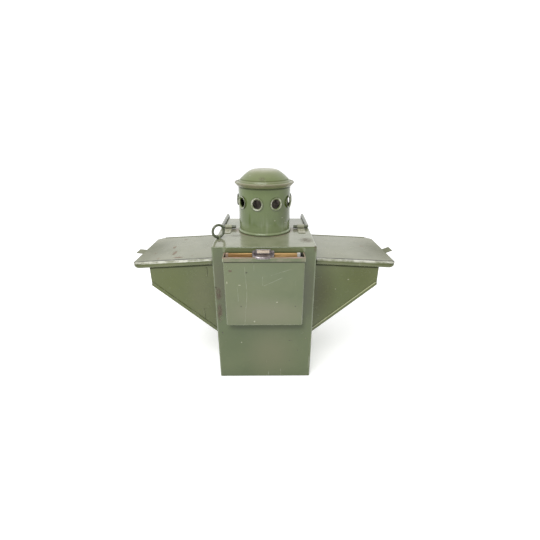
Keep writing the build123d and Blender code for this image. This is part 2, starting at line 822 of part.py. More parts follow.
# leaf spring riveted by the knob's shank, pressing on the edge of the opening
with BuildPart() as door_catch:
    with BuildSketch(Plane(origin=(0, 0, knob_z - 8), x_dir=(1, 0, 0), z_dir=(0, 0, 1))):
        with BuildLine():
            Polyline(
                (knob_x - 6, door_y), (door_half - 0.8, door_y), (door_half - 0.8, door_y - 3.4),
                (door_half - 2.4, door_y - 6.4), (door_half - 3.0, door_y - 6.0),
                (door_half - 1.6, door_y - 3.2), (door_half - 1.6, door_y - 0.8),
                (knob_x - 6, door_y - 0.8), close=True,
            )
        make_face()
    extrude(amount=16)

save(door_hinge_leaf.part, "door_hinge_leaf")
save(door_hinge_pin.part, "door_hinge_pin")
save(rear_door.part - door_knob.part, "rear_door")
save(door_catch.part - door_knob.part, "door_catch")
save(door_knob.part, "door_knob")

# ---------------------------------------------------------------- fuel tank

socket_radius = 24.0
neck_x = -50.0
neck_y = tank_y + 48.0
neck_radius = 12.0

with BuildPart() as fuel_tank:
    with BuildSketch(Plane.XY.offset(sheet)):
        with Locations((0, tank_y)):
            RectangleRounded(2 * tank_half, 2 * tank_half, 12)
    extrude(amount=tank_height)
    fillet(faces().sort_by(Axis.Z)[-1].edges(), 4)
    with BuildSketch(Plane.XY.offset(2 * sheet)):
        with Locations((0, tank_y)):
            RectangleRounded(2 * (tank_half - sheet), 2 * (tank_half - sheet), 10.8)
    extrude(amount=tank_height - 2 * sheet, mode=Mode.SUBTRACT)
    with BuildSketch(Plane.XY.offset(burner_z - 0.5)):
        with Locations((0, tank_y)):
            Circle(socket_radius)
        with Locations((neck_x, neck_y)):
            Circle(neck_radius)
    extrude(amount=7.0)
    with BuildSketch(Plane.XY.offset(burner_z - 3)):
        with Locations((0, tank_y)):
            Circle(socket_radius - 1.2)
        with Locations((neck_x, neck_y)):
            Circle(neck_radius - 1.2)
    extrude(amount=12, mode=Mode.SUBTRACT)

save(fuel_tank.part, "fuel_tank")

neck_top = burner_z + 6.5

with BuildPart() as filler_gasket:
    with BuildSketch(Plane.XY.offset(neck_top + rest_gap)):
        with Locations((neck_x, neck_y)):
            Circle(neck_radius + 0.4)
            Circle(neck_radius - 3.0, mode=Mode.SUBTRACT)
    extrude(amount=1.0)

with BuildPart() as filler_cap:
    with BuildSketch(Plane.XY.offset(burner_z + 1.0)):
        with Locations((neck_x, neck_y)):
            RegularPolygon(neck_radius + 3.0, 16)
    extrude(amount=neck_top + rest_gap + 1.0 + sheet - burner_z - 1.0)
    with BuildSketch(Plane.XY.offset(burner_z)):
        with Locations((neck_x, neck_y)):
            Circle(neck_radius + slide_gap)
    extrude(amount=neck_top + rest_gap + 1.0 - burner_z, mode=Mode.SUBTRACT)

save(filler_gasket.part, "filler_gasket")
save(filler_cap.part, "filler_cap")

# ---------------------------------------------------------------- burner

wick_half_w = 17.0
wick_half_t = 1.5
wick_fit = 0.35
tube_wall = 0.8
tube_top = burner_z + 46.0
wick_rest_low = sheet + 12.0
wheel_radius = 5.0
spindle_radius = 1.5
spindle_x = wick_half_t + wick_fit + wheel_radius
spindle_z = burner_z + 17.0
spindle_end = half_d - 16.0


def spindle_plane(y):
    return Plane(origin=(spindle_x, y, spindle_z), x_dir=(1, 0, 0), z_dir=(0, 1, 0))


# screwed collar and cup that carries the wick tube
with BuildPart() as burner_collar:
    with BuildSketch(Plane.XY.offset(burner_z + 6.5)):
        with Locations((0, tank_y)):
            Circle(socket_radius + 3)
    extrude(amount=17.5)
    fillet(faces().sort_by(Axis.Z)[-1].edges(), 3)
    with BuildSketch(Plane.XY.offset(burner_z + 6.5)):
        with Locations((0, tank_y)):
            Circle(socket_radius + 1)
    extrude(amount=16.3, mode=Mode.SUBTRACT)
    with BuildSketch(Plane.XY.offset(burner_z + 6.5)):
        with Locations((0, tank_y)):
            Circle(socket_radius + 3)
            Circle(socket_radius - 2, mode=Mode.SUBTRACT)
    extrude(amount=1.2)
    with BuildSketch(Plane.XY.offset(burner_z + 20)):
        with Locations((0, tank_y)):
            Rectangle(2 * (wick_half_t + wick_fit + tube_wall), 2 * (wick_half_w + wick_fit + tube_wall))
    extrude(amount=8, mode=Mode.SUBTRACT)
    with BuildSketch(spindle_plane(tank_y)):
        Circle(spindle_radius + run_fit)
    extrude(amount=60, both=True, mode=Mode.SUBTRACT)

with BuildPart() as wick_tube:
    outer_t = wick_half_t + wick_fit + tube_wall
    outer_w = wick_half_w + wick_fit + tube_wall
    with BuildSketch(Plane.XY.offset(burner_z - 8)):
        with Locations((0, tank_y)):
            Rectangle(2 * outer_t, 2 * outer_w)
            Rectangle(2 * (outer_t - tube_wall), 2 * (outer_w - tube_wall), mode=Mode.SUBTRACT)
    extrude(amount=tube_top - burner_z + 8)
    with BuildSketch(Plane.XY.offset(spindle_z - 6)):
        with Locations((outer_t, tank_y)):
            Rectangle(2 * outer_t - 1.0, 20)
    extrude(amount=12, mode=Mode.SUBTRACT)

with BuildPart() as wick:
    with BuildSketch(Plane.XY.offset(wick_rest_low)):
        with Locations((0, tank_y)):
            Rectangle(2 * wick_half_t, 2 * wick_half_w)
    extrude(amount=tube_top + 1.0 - wick_rest_low)

with BuildPart() as wick_spindle:
    with BuildSketch(spindle_plane(tank_y - socket_radius - 5)):
        Circle(spindle_radius)
    extrude(amount=spindle_end - tank_y + socket_radius + 5)
    with BuildSketch(spindle_plane(tank_y - 7)):
        Circle(wheel_radius - 0.6)
        with PolarLocations(wheel_radius - 0.8, 12):
            Rectangle(1.0, 1.0)
    extrude(amount=14)

with BuildPart() as wick_knob:
    with BuildSketch(spindle_plane(spindle_end - 6)):
        Circle(9.0)
        with PolarLocations(9.0, 24):
            Circle(0.5, mode=Mode.SUBTRACT)
        Circle(spindle_radius, mode=Mode.SUBTRACT)
    extrude(amount=6)

gallery_low = burner_z + 24.0
chimney_low = burner_z + 29.0
chimney_radius = 26.0

# perforated ring with four prongs that holds the chimney and the cone
with BuildPart() as burner_gallery:
    with BuildSketch(Plane.XY.offset(gallery_low)):
        with Locations((0, tank_y)):
            Circle(chimney_radius + 4)
            Rectangle(2 * outer_t + 0.6, 2 * outer_w + 0.6, mode=Mode.SUBTRACT)
            with PolarLocations(15.5, 12, start_angle=15):
                Circle(1.8, mode=Mode.SUBTRACT)
    extrude(amount=1.2)
    with BuildSketch(Plane.XY.offset(gallery_low)):
        with Locations((0, tank_y)):
            Circle(chimney_radius + 4)
            Circle(chimney_radius + 3, mode=Mode.SUBTRACT)
    extrude(amount=5.0)
    with BuildSketch(Plane.XY.offset(gallery_low)):
        with Locations((0, tank_y)):
            Circle(chimney_radius + 4)
            Circle(chimney_radius - 2.2, mode=Mode.SUBTRACT)
    extrude(amount=5.0)
    with BuildSketch(Plane.XY.offset(gallery_low)):
        with Locations((0, tank_y)):
            with PolarLocations(chimney_radius + 1.4, 4, start_angle=45):
                Rectangle(1.2, 8)
    extrude(amount=17)

# dome with a slot over the wick tube
with BuildPart() as draft_cone:
    with BuildSketch(drum_plane):
        with BuildLine():
            Polyline(
                (19.0, gallery_low + 1.2), (19.8, gallery_low + 1.2), (19.8, gallery_low + 14),
                (15.0, gallery_low + 23), (0.0, gallery_low + 26), (0.0, gallery_low + 25.2),
                (14.6, gallery_low + 22.3), (19.0, gallery_low + 13.8), close=True,
            )
        make_face()
    revolve(axis=drum_axis)
    with BuildSketch(Plane.XY.offset(gallery_low + 10)):
        with Locations((0, tank_y)):
            Rectangle(9, 2 * outer_w + 1.0)
    extrude(amount=30, mode=Mode.SUBTRACT)

with BuildPart() as lamp_chimney:
    with BuildSketch(drum_plane):
        with BuildLine():
            Polyline(
                (chimney_radius - 1.5, chimney_low), (chimney_radius, chimney_low),
                (chimney_radius, chimney_low + 18), (chimney_radius + 6, chimney_low + 45),
                (chimney_radius + 6, chimney_low + 70), (chimney_radius - 3, chimney_low + 110),
                (chimney_radius - 3, chimney_low + 225), (chimney_radius - 4.5, chimney_low + 225),
                (chimney_radius - 4.5, chimney_low + 109.6), (chimney_radius + 4.5, chimney_low + 69.7),
                (chimney_radius + 4.5, chimney_low + 45.3), (chimney_radius - 1.5, chimney_low + 18.3),
                close=True,
            )
        make_face()
    revolve(axis=drum_axis)

save(burner_collar.part, "burner_collar")
save(wick_tube.part, "wick_tube")
save(wick.part, "wick")
save(wick_spindle.part, "wick_spindle")
save(wick_knob.part, "wick_knob")
save(burner_gallery.part, "burner_gallery")
save(draft_cone.part, "draft_cone")
save(lamp_chimney.part, "lamp_chimney")
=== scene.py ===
import bpy
import json
import math
from mathutils import Euler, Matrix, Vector


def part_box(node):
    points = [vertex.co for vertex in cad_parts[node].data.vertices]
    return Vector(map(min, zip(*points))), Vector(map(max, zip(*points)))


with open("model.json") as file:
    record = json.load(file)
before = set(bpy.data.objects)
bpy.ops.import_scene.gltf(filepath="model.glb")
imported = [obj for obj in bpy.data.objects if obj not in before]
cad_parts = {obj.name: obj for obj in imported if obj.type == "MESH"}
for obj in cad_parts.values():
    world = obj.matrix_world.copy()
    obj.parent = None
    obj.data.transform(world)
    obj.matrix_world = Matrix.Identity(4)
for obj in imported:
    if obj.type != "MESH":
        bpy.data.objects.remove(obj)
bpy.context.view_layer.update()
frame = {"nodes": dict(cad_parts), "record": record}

MM = 0.001


def span(node):
    """Low and high corners of a node's box, in millimetres."""
    low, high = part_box(node)
    return [value / MM for value in low], [value / MM for value in high]


# ------------------------------------------------------------------ places on the object, in millimetres

casing_low, casing_high = span("casing_shell")
pocket_low, pocket_high = span("front_pocket")
drum_low, drum_high = span("flue_drum")
cap_low, cap_high = span("flue_cap")
lid_low, lid_high = span("right_lid")
wing_low, wing_high = span("right_wing_box")
seam_low, seam_high = span("right_wing_bottom")
board_end_high = span("slide_end_cap_right")[1]

drum_centre_y = (cap_low[1] + cap_high[1]) / 2
LINER_TO_DRUM = 1.4
drum_radius = span("inner_flue")[1][0] + LINER_TO_DRUM
HEM_HEIGHT = 8.0
HEM_PROUD = 1.8


def on_casing(x, z):
    return x, casing_low[1], z


def on_plate(x, y):
    return x, y, casing_high[2]


def on_pocket(x, z):
    return x, pocket_low[1] + HEM_PROUD, z


def on_wing(x, z):
    return x, wing_low[1], z


# ------------------------------------------------------------------ node helper


class Graph:
    """Builds one material's node tree with short calls. Values are numbers, colours or sockets."""

    def __init__(self, name):
        self.material = bpy.data.materials.new(name)
        self.material.use_nodes = True
        self.tree = self.material.node_tree
        self.tree.nodes.clear()
        self.place = self.node("ShaderNodeTexCoord").outputs["Object"]

    def node(self, kind, **settings):
        made = self.tree.nodes.new(kind)
        for key, value in settings.items():
            setattr(made, key, value)
        return made

    def put(self, socket, value):
        if isinstance(value, bpy.types.NodeSocket):
            self.tree.links.new(value, socket)
        elif isinstance(value, (tuple, list)) and len(value) == 3 and socket.type == "RGBA":
            socket.default_value = (*value, 1.0)
        else:
            socket.default_value = value

    def math(self, operation, a, b=0.0, clamp=False):
        made = self.node("ShaderNodeMath", operation=operation, use_clamp=clamp)
        self.put(made.inputs[0], a)
        self.put(made.inputs[1], b)
        return made.outputs[0]

    def times(self, first, *others):
        out = first
        for other in others:
            out = self.math("MULTIPLY", out, other)
        return out

    def most(self, first, *others):
        out = first
        for other in others:
            out = self.math("MAXIMUM", out, other)
        return out

    def without(self, mask):
        return self.math("SUBTRACT", 1.0, mask)

    def vector(self, operation, a, b=(0, 0, 0)):
        made = self.node("ShaderNodeVectorMath", operation=operation)
        self.put(made.inputs[0], a)
        self.put(made.inputs[1], b)
        return made.outputs["Value"] if operation in ("DOT_PRODUCT", "LENGTH") else made.outputs[0]

    def stretch(self, scale, turn=(0, 0, 0), shift=(0, 0, 0)):
        made = self.node("ShaderNodeMapping")
        self.put(made.inputs["Vector"], self.place)
        made.inputs["Location"].default_value = shift
        made.inputs["Rotation"].default_value = turn
        made.inputs["Scale"].default_value = scale
        return made.outputs[0]

    def moved(self, shift):
        return self.stretch((1, 1, 1), shift=shift)

    def noise(self, scale, detail=3.0, rough=0.55, distort=0.0, at=None):
        made = self.node("ShaderNodeTexNoise")
        self.put(made.inputs["Vector"], self.place if at is None else at)
        made.inputs["Scale"].default_value = scale
        made.inputs["Detail"].default_value = detail
        made.inputs["Roughness"].default_value = rough
        made.inputs["Distortion"].default_value = distort
        return made.outputs[0]

    def cells(self, scale, at=None):
        made = self.node("ShaderNodeTexVoronoi")
        self.put(made.inputs["Vector"], self.place if at is None else at)
        made.inputs["Scale"].default_value = scale
        return made.outputs["Distance"]

    def step(self, value, low, high, to_low=0.0, to_high=1.0):
        made = self.node("ShaderNodeMapRange", interpolation_type="SMOOTHSTEP")
        self.put(made.inputs["Value"], value)
        made.inputs["From Min"].default_value = low
        made.inputs["From Max"].default_value = high
        made.inputs["To Min"].default_value = to_low
        made.inputs["To Max"].default_value = to_high
        return made.outputs[0]

    def patchy(self, scale, low, high, to_low=0.0, to_high=1.0, detail=4.0, distort=0.0):
        """Ragged mask cut from rough noise."""
        return self.step(self.noise(scale, detail, 0.7, distort), low, high, to_low, to_high)

    def mix(self, factor, a, b):
        made = self.node("ShaderNodeMix", data_type="RGBA")
        self.put(made.inputs["Factor"], factor)
        self.put(made.inputs[6], a)
        self.put(made.inputs[7], b)
        return made.outputs[2]

    def blend(self, factor, a, b):
        made = self.node("ShaderNodeMix", data_type="FLOAT")
        self.put(made.inputs["Factor"], factor)
        self.put(made.inputs[2], a)
        self.put(made.inputs[3], b)
        return made.outputs[0]

    def spot(self, centre, radii, edge):
        """1 inside an ellipsoid given in millimetres, fading over its outer share called edge."""
        scale = [1.0 / (radius * MM) for radius in radii]
        shift = [-place * MM * size for place, size in zip(centre, scale)]
        length = self.vector("LENGTH", self.stretch(scale, shift=shift))
        return self.step(length, 1.0, 1.0 - edge)

    def zone(self, x=(None, None), y=(None, None), z=(None, None), edge=1.0):
        """1 between the limits given in millimetres, fading over edge; None leaves a side open."""
        parts = self.node("ShaderNodeSeparateXYZ")
        self.put(parts.inputs[0], self.place)
        inside = 1.0
        for axis, limits in enumerate((x, y, z)):
            for limit, sign in zip(limits, (1.0, -1.0)):
                if limit is not None:
                    away = self.times(self.math("SUBTRACT", parts.outputs[axis], limit * MM), sign)
                    inside = self.times(inside, self.step(away, -edge * MM, edge * MM))
        return inside

    def beyond(self, inner, outer):
        """0 within one distance of the drum's upright axis, 1 past the other, in millimetres."""
        parts = self.node("ShaderNodeSeparateXYZ")
        self.put(parts.inputs[0], self.place)
        across = self.math("SUBTRACT", parts.outputs[1], drum_centre_y * MM)
        square = self.math("ADD", self.math("POWER", parts.outputs[0], 2.0), self.math("POWER", across, 2.0))
        return self.step(self.math("SQRT", square), inner * MM, outer * MM)

    def up(self, low, high):
        """1 on faces that look up when the part is at rest."""
        parts = self.node("ShaderNodeSeparateXYZ")
        self.put(parts.inputs[0], self.node("ShaderNodeTexCoord").outputs["Normal"])
        return self.step(parts.outputs[2], low, high)

    def strokes(self, lines, width, wobble=0.0012):
        """1 near thin lines on upright faces, given as broken lines of (x, z) in millimetres."""
        soft = self.node("ShaderNodeTexNoise")
        self.put(soft.inputs["Vector"], self.place)
        soft.inputs["Scale"].default_value = 60.0
        shift = self.vector("SUBTRACT", soft.outputs["Color"], (0.5, 0.5, 0.5))
        shift = self.vector("MULTIPLY", shift, (wobble, wobble, wobble))
        flat = self.vector("MULTIPLY", self.vector("ADD", self.place, shift), (1, 0, 1))
        found = 0.0
        for line in lines:
            ends = [Vector((x, 0, z)) * MM for x, z in line]
            for start, end in zip(ends, ends[1:]):
                along = end - start
                reach = self.vector("SUBTRACT", flat, tuple(start))
                ahead = self.vector("DOT_PRODUCT", reach, tuple(along))
                share = self.math("DIVIDE", ahead, along.length_squared, clamp=True)
                nearest = self.node("ShaderNodeVectorMath", operation="SCALE")
                self.put(nearest.inputs[0], tuple(along))
                self.put(nearest.inputs["Scale"], share)
                away = self.vector("LENGTH", self.vector("SUBTRACT", reach, nearest.outputs[0]))
                found = self.most(self.step(away, width * MM, width * 0.3 * MM), found)
        return found

    def edges(self, radius):
        """1 near sharp convex or concave edges."""
        rounded = self.node("ShaderNodeBevel", samples=6)
        rounded.inputs["Radius"].default_value = radius
        flat = self.node("ShaderNodeNewGeometry").outputs["Normal"]
        return self.step(self.without(self.vector("DOT_PRODUCT", rounded.outputs[0], flat)), 0.02, 0.14)

    def hidden(self, distance):
        """1 in corners and narrow gaps, 0 in the open."""
        made = self.node("ShaderNodeAmbientOcclusion", samples=4)
        made.inputs["Distance"].default_value = distance
        return self.without(made.outputs["AO"])

    def bump(self, height, strength, distance, soft=0.0):
        made = self.node("ShaderNodeBump")
        made.inputs["Strength"].default_value = strength
        made.inputs["Distance"].default_value = distance
        self.put(made.inputs["Height"], height)
        if soft:
            rounded = self.node("ShaderNodeBevel", samples=4)
            rounded.inputs["Radius"].default_value = soft
            self.put(made.inputs["Normal"], rounded.outputs[0])
        return made.outputs[0]

    def finish(self, colour, rough, metal=0.0, normal=None, **sockets):
        shader = self.node("ShaderNodeBsdfPrincipled")
        self.put(shader.inputs["Base Color"], colour)
        self.put(shader.inputs["Roughness"], rough)
        self.put(shader.inputs["Metallic"], metal)
        if normal is not None:
            self.put(shader.inputs["Normal"], normal)
        for key, value in sockets.items():
            self.put(shader.inputs[key.replace("_", " ")], value)
        out = self.node("ShaderNodeOutputMaterial")
        self.tree.links.new(shader.outputs[0], out.inputs["Surface"])
        return self.material


# ------------------------------------------------------------------ colours

BODY_GREEN = (0.092, 0.118, 0.043)
POCKET_GREEN = (0.121, 0.144, 0.064)
WING_GREEN = (0.104, 0.121, 0.036)
LID_GREEN = (0.112, 0.124, 0.046)
DRUM_GREEN = (0.134, 0.173, 0.058)
CAP_GREEN = (0.140, 0.168, 0.060)
CLIP_GREEN = (0.31, 0.31, 0.215)
HANDLE_GREEN = (0.100, 0.112, 0.066)
DUSTY_GREEN = (0.22, 0.235, 0.145)

RUST = (0.088, 0.070, 0.050)
RUST_PALE = (0.155, 0.130, 0.098)
LID_RUST = (0.165, 0.122, 0.090)
LID_RUST_PALE = (0.27, 0.205, 0.155)
PRIMER = (0.36, 0.235, 0.19)
FOOT_BROWN = (0.27, 0.19, 0.135)
BRIM_BROWN = (0.235, 0.205, 0.145)
FLAT_BROWN = (0.26, 0.265, 0.16)
HEM_BROWN = (0.22, 0.185, 0.13)

# pale colours: worn paint on edges and on the drum's vent lips, wear with a painted highlight on the lids'
# beads and on the seam, painted highlights on the pocket's rims and in the drum's streaks, a painted
# reflection on the drum's foot, painted highlights on the casing's corners, painted light in the band above
# the pocket, and dust
WORN_PALE = (0.50, 0.49, 0.40)
LIP_PALE = (0.52, 0.52, 0.42)
CHALK_AND_PAINTED_HIGHLIGHT = (0.56, 0.56, 0.48)
SEAM_WEAR_AND_PAINTED_HIGHLIGHT = (0.44, 0.46, 0.27)
RIM_PAINTED_HIGHLIGHT = (0.34, 0.36, 0.24)
STREAK_PAINTED_HIGHLIGHT = (0.34, 0.37, 0.26)
FOOT_PAINTED_REFLECTION = (0.215, 0.260, 0.135)
CORNER_PAINTED_HIGHLIGHT = (0.175, 0.200, 0.120)
ABOVE_POCKET_PAINTED_LIGHT = (0.200, 0.228, 0.120)
DUST = (0.45, 0.43, 0.335)

# dark colours: corner grime that is also painted shade, painted shadows and shades under the pocket, under
# the brim, on the wings, under the hem, in creases, at the lids' inner ends and along their rear rolls, and
# soot
CORNER_GRIME_AND_PAINTED_SHADE = (0.035, 0.038, 0.022)
POCKET_PAINTED_SHADOW = (0.026, 0.032, 0.012)
BRIM_PAINTED_SHADOW = (0.030, 0.036, 0.014)
WING_PAINTED_SHADOW = (0.022, 0.026, 0.008)
HEM_PAINTED_SHADOW = (0.02, 0.018, 0.012)
LID_CREASE_PAINTED_SHADE = (0.045, 0.047, 0.028)
LID_END_PAINTED_SHADE = (0.02, 0.02, 0.012)
REAR_ROLL_PAINTED_SHADE = (0.06, 0.062, 0.04)
CAP_CREASE_PAINTED_SHADE = (0.075, 0.085, 0.04)
SOOT = (0.022, 0.020, 0.018)

DARK_NICK = (0.045, 0.035, 0.028)
BROWN_NICK = (0.135, 0.112, 0.082)
PALE_NICK = (0.36, 0.36, 0.26)

# ------------------------------------------------------------------ enamel


def scatter(g, scale, low, high, patch_scale, patch_low, patch_high, shift, patch_shift):
    """Small dots that come in clusters."""
    dots = g.step(g.cells(scale, g.moved(shift)), low, high)
    clusters = g.step(g.noise(patch_scale, 2.0, at=g.moved(patch_shift)), patch_low, patch_high)
    return g.times(dots, clusters)


def enamel(name, base, shine=0.15, wear=1.0, dust=0.0, spots=(), marks=(), tints_and_painted_shade=(), dull=(), scratches=(),
           rust=(RUST, RUST_PALE), extra=None):
    """Old brushed enamel on sheet steel: colour drift, grime and painted shade in corners, worn edges, rust
    and scratches.

    spots are ragged rust patches as (centre, radii, strength), marks are nicks as (centre, radii, colour),
    tints_and_painted_shade tint a region softly as (centre, radii, colour, strength), some paint tone, some
    painted shade, dull takes the gloss off a region as (centre, radii, strength), and scratches are pale
    broken lines. extra adds this piece's own wear and painted light: it takes the colour so far, and gives
    back the colour and where the gloss is lost.
    """
    g = Graph(name)
    pale = tuple(1.16 * part + 0.018 for part in base)
    deep = (base[0] * 0.80, base[1] * 0.86, base[2] * 0.78)
    drift = g.noise(8.0, 4.0, 0.6, 0.4)
    mottle = g.noise(65.0, 5.0, 0.65)
    fine = g.noise(420.0, 3.0, 0.6)

    # the paint itself, with tints, some of them painted shade
    colour = g.mix(g.step(drift, 0.36, 0.66), deep, base)
    for centre, radii, tint, strength in tints_and_painted_shade:
        colour = g.mix(g.times(g.spot(centre, radii, 0.9), strength), colour, tint)
    colour = g.mix(g.step(mottle, 0.52, 0.80, 0.0, 0.22), colour, pale)
    colour = g.mix(g.step(fine, 0.60, 0.78, 0.0, 0.10), colour, deep)

    # dust on top, grime and painted shade in corners
    if dust:
        drifted = g.step(g.noise(24.0, 5.0, 0.65), 0.30, 0.62, dust * 0.65, dust)
        settled = g.times(g.up(0.72, 1.0), drifted)
        colour = g.mix(settled, colour, DUST)
    corner_grime_and_painted_shade = g.times(g.hidden(0.016), g.step(mottle, 0.3, 0.7, 0.6, 1.0))
    colour = g.mix(g.step(corner_grime_and_painted_shade, 0.30, 0.95, 0.0, 0.78), colour, CORNER_GRIME_AND_PAINTED_SHADE)

    # hairline scuffs, longer scratches, pale flecks and single nicks
    slanted = g.noise(22.0, 2.0, 0.5, at=g.stretch((7.0, 5.0, 0.6), (0.3, 0.85, 0.2), (3, 1, 7)))
    hairs = g.times(g.step(slanted, 0.712, 0.728), g.step(drift, 0.46, 0.62))
    colour = g.mix(g.times(hairs, 0.32 * wear), colour, WORN_PALE)
    if scratches:
        lines = g.times(g.strokes(scratches, 0.55), g.patchy(90.0, 0.34, 0.60, detail=3.0))
        colour = g.mix(g.times(lines, 0.28), colour, WORN_PALE)
    flecks = scatter(g, 150.0, 0.070, 0.035, 19.0, 0.57, 0.64, (2, 7, 1), (8, 3, 4))
    colour = g.mix(g.times(flecks, 0.6 * wear), colour, WORN_PALE)
    nicks = 0.0
    for centre, radii, tint in marks:
        nick = g.times(g.spot(centre, radii, 0.5), g.step(g.noise(500.0, 2.0), 0.25, 0.45))
        colour = g.mix(nick, colour, tint)
        nicks = g.most(nick, nicks)

    # worn edges and rust
    edge = g.times(g.edges(0.0015), g.patchy(60.0, 0.40, 0.60), wear)
    rusty = g.times(scatter(g, 120.0, 0.075, 0.040, 16.0, 0.575, 0.63, (0, 0, 0), (5, 2, 9)), wear)
    if spots:
        patches = 0.0
        for centre, radii, strength in spots:
            patches = g.most(g.times(g.spot(centre, radii, 0.7), strength), patches)
        rusty = g.most(rusty, g.times(patches, g.patchy(150.0, 0.34, 0.52, detail=5.0, distort=0.6)))
    bared = g.mix(g.step(mottle, 0.42, 0.60), WORN_PALE, RUST_PALE)
    colour = g.mix(g.times(edge, 0.62), colour, bared)
    colour = g.mix(rusty, colour, g.mix(g.step(fine, 0.4, 0.62), *rust))
    matt = 0.0
    if extra:
        colour, matt = extra(g, colour)

    # gloss
    bare = g.most(edge, rusty, nicks)
    rough = g.blend(bare, g.step(mottle, 0.3, 0.8, shine, shine + 0.15), 0.6)
    if dust:
        rough = g.blend(g.times(settled, 0.35), rough, 0.45)
    gloss = g.times(g.without(g.times(bare, 0.85)), g.without(matt))
    for centre, radii, strength in dull:
        gloss = g.times(gloss, g.without(g.times(g.spot(centre, radii, 0.9), strength)))

    # brush waves, grain and pitted rust
    height = g.math("ADD", g.noise(14.0, 2.0, 0.5), g.times(fine, 0.035))
    height = g.math("SUBTRACT", height, g.times(rusty, 0.05))
    normal = g.bump(height, 0.22, 0.002, soft=0.0009)
    return g.finish(colour, rough, 0.0, normal, IOR=1.52, Specular_IOR_Level=g.times(gloss, 0.5),
                    Coat_Weight=g.times(gloss, 0.3), Coat_Roughness=0.07)


# ------------------------------------------------------------------ each enamelled piece's own touches


def drum_soot_wear_and_painted_light(g, colour):
    """Soot inside, pale worn lips round the vents, the foot lightened as a painted reflection with painted
    highlight streaks, and a painted shadow under the brim.
    """
    outside = g.beyond(drum_radius - 1.4, drum_radius - 0.7)
    colour = g.mix(outside, SOOT, colour)
    lip = g.times(g.zone(z=(drum_low[2] + 49, drum_low[2] + 84)), g.patchy(110.0, 0.40, 0.60, 0.15, 0.95))
    lip = g.times(lip, g.beyond(drum_radius + 1.0, drum_radius + 2.4))
    colour = g.mix(lip, colour, LIP_PALE)
    foot = g.times(g.zone(z=(None, drum_low[2] + 21), edge=7.0), outside)
    colour = g.mix(g.times(foot, 0.75), colour, FOOT_PAINTED_REFLECTION)
    painted_highlight_streaks = g.step(g.noise(75.0, 3.0, 0.6, at=g.stretch((1.0, 1.0, 0.07))), 0.50, 0.66)
    painted_highlight_streaks = g.times(painted_highlight_streaks, g.zone(z=(None, drum_low[2] + 32), edge=16.0), outside)
    colour = g.mix(g.times(painted_highlight_streaks, 0.30), colour, STREAK_PAINTED_HIGHLIGHT)
    under = g.times(g.zone(z=(drum_high[2] - 5.0, None), edge=1.6), outside)
    colour = g.mix(g.times(under, 0.75), colour, BRIM_PAINTED_SHADOW)
    return colour, g.most(g.without(outside), g.times(under, 0.6))


def cap_wear_and_painted_shade(g, colour):
    """Brownish worn brim, a paler flat, painted shade in the crease at the dome's foot, and soot inside."""
    brim = g.times(g.zone(z=(cap_low[2] + 3, cap_low[2] + 13)), g.patchy(80.0, 0.35, 0.6, 0.25, 0.75))
    brim = g.times(brim, g.beyond(cap_high[0] - 5.7, cap_high[0] - 2.2))
    colour = g.mix(brim, colour, BRIM_BROWN)
    flat = g.times(g.beyond(51.5, 52.5), g.without(g.beyond(58.0, 60.0)), g.up(0.3, 0.7))
    colour = g.mix(g.times(flat, 0.5), colour, FLAT_BROWN)
    crease_painted_shade = g.times(g.beyond(49.8, 50.6), g.without(g.beyond(51.4, 52.4)))
    colour = g.mix(g.times(crease_painted_shade, 0.55), colour, CAP_CREASE_PAINTED_SHADE)
    inside = g.without(g.beyond(drum_radius - 1.8, drum_radius - 1.4))
    below = g.times(inside, g.zone(z=(None, cap_low[2] + 12)))
    return g.mix(below, colour, SOOT), g.times(g.most(below, crease_painted_shade, brim), 0.7)


def casing_stain_and_painted_light(g, colour):
    """Brown stain along the drum's foot, a painted shadow below the pocket, painted highlights on the corners
    and painted light in a pale band above the pocket.
    """
    foot = g.times(g.beyond(drum_radius + 1.6, drum_radius + 3.1), g.zone(z=(casing_high[2] - 0.4, None)))
    foot = g.times(foot, g.without(g.beyond(drum_radius + 4.1, drum_radius + 12.6)))
    foot = g.times(foot, g.patchy(55.0, 0.40, 0.62, detail=5.0, distort=0.5))
    colour = g.mix(g.times(foot, 0.75), colour, FOOT_BROWN)
    front = casing_low[1] + 0.5
    below = g.zone((pocket_low[0] + 1.9, pocket_high[0] + 6.1), (None, front),
                   (pocket_low[2] - 26.6, pocket_low[2] + 9.4), 6.5)
    colour = g.mix(g.times(below, 0.80), colour, POCKET_PAINTED_SHADOW)
    corner_painted_highlight = g.without(g.zone(x=(casing_low[0] + 2.8, casing_high[0] - 2.8), edge=0.9))
    corner_painted_highlight = g.times(corner_painted_highlight, g.zone(y=(None, casing_low[1] + 14), z=(None, casing_high[2] - 2), edge=2.0))
    corner_painted_highlight = g.times(corner_painted_highlight, g.patchy(30.0, 0.34, 0.60, 0.25, 0.75))
    colour = g.mix(corner_painted_highlight, colour, CORNER_PAINTED_HIGHLIGHT)
    above = g.zone((pocket_low[0] - 2.1, pocket_high[0] + 2.1), (None, front),
                   (pocket_high[2] + 0.6, casing_high[2] - 1.5), 1.5)
    colour = g.mix(g.times(above, 0.9), colour, ABOVE_POCKET_PAINTED_LIGHT)
    return colour, g.times(g.most(foot, below), 0.5)


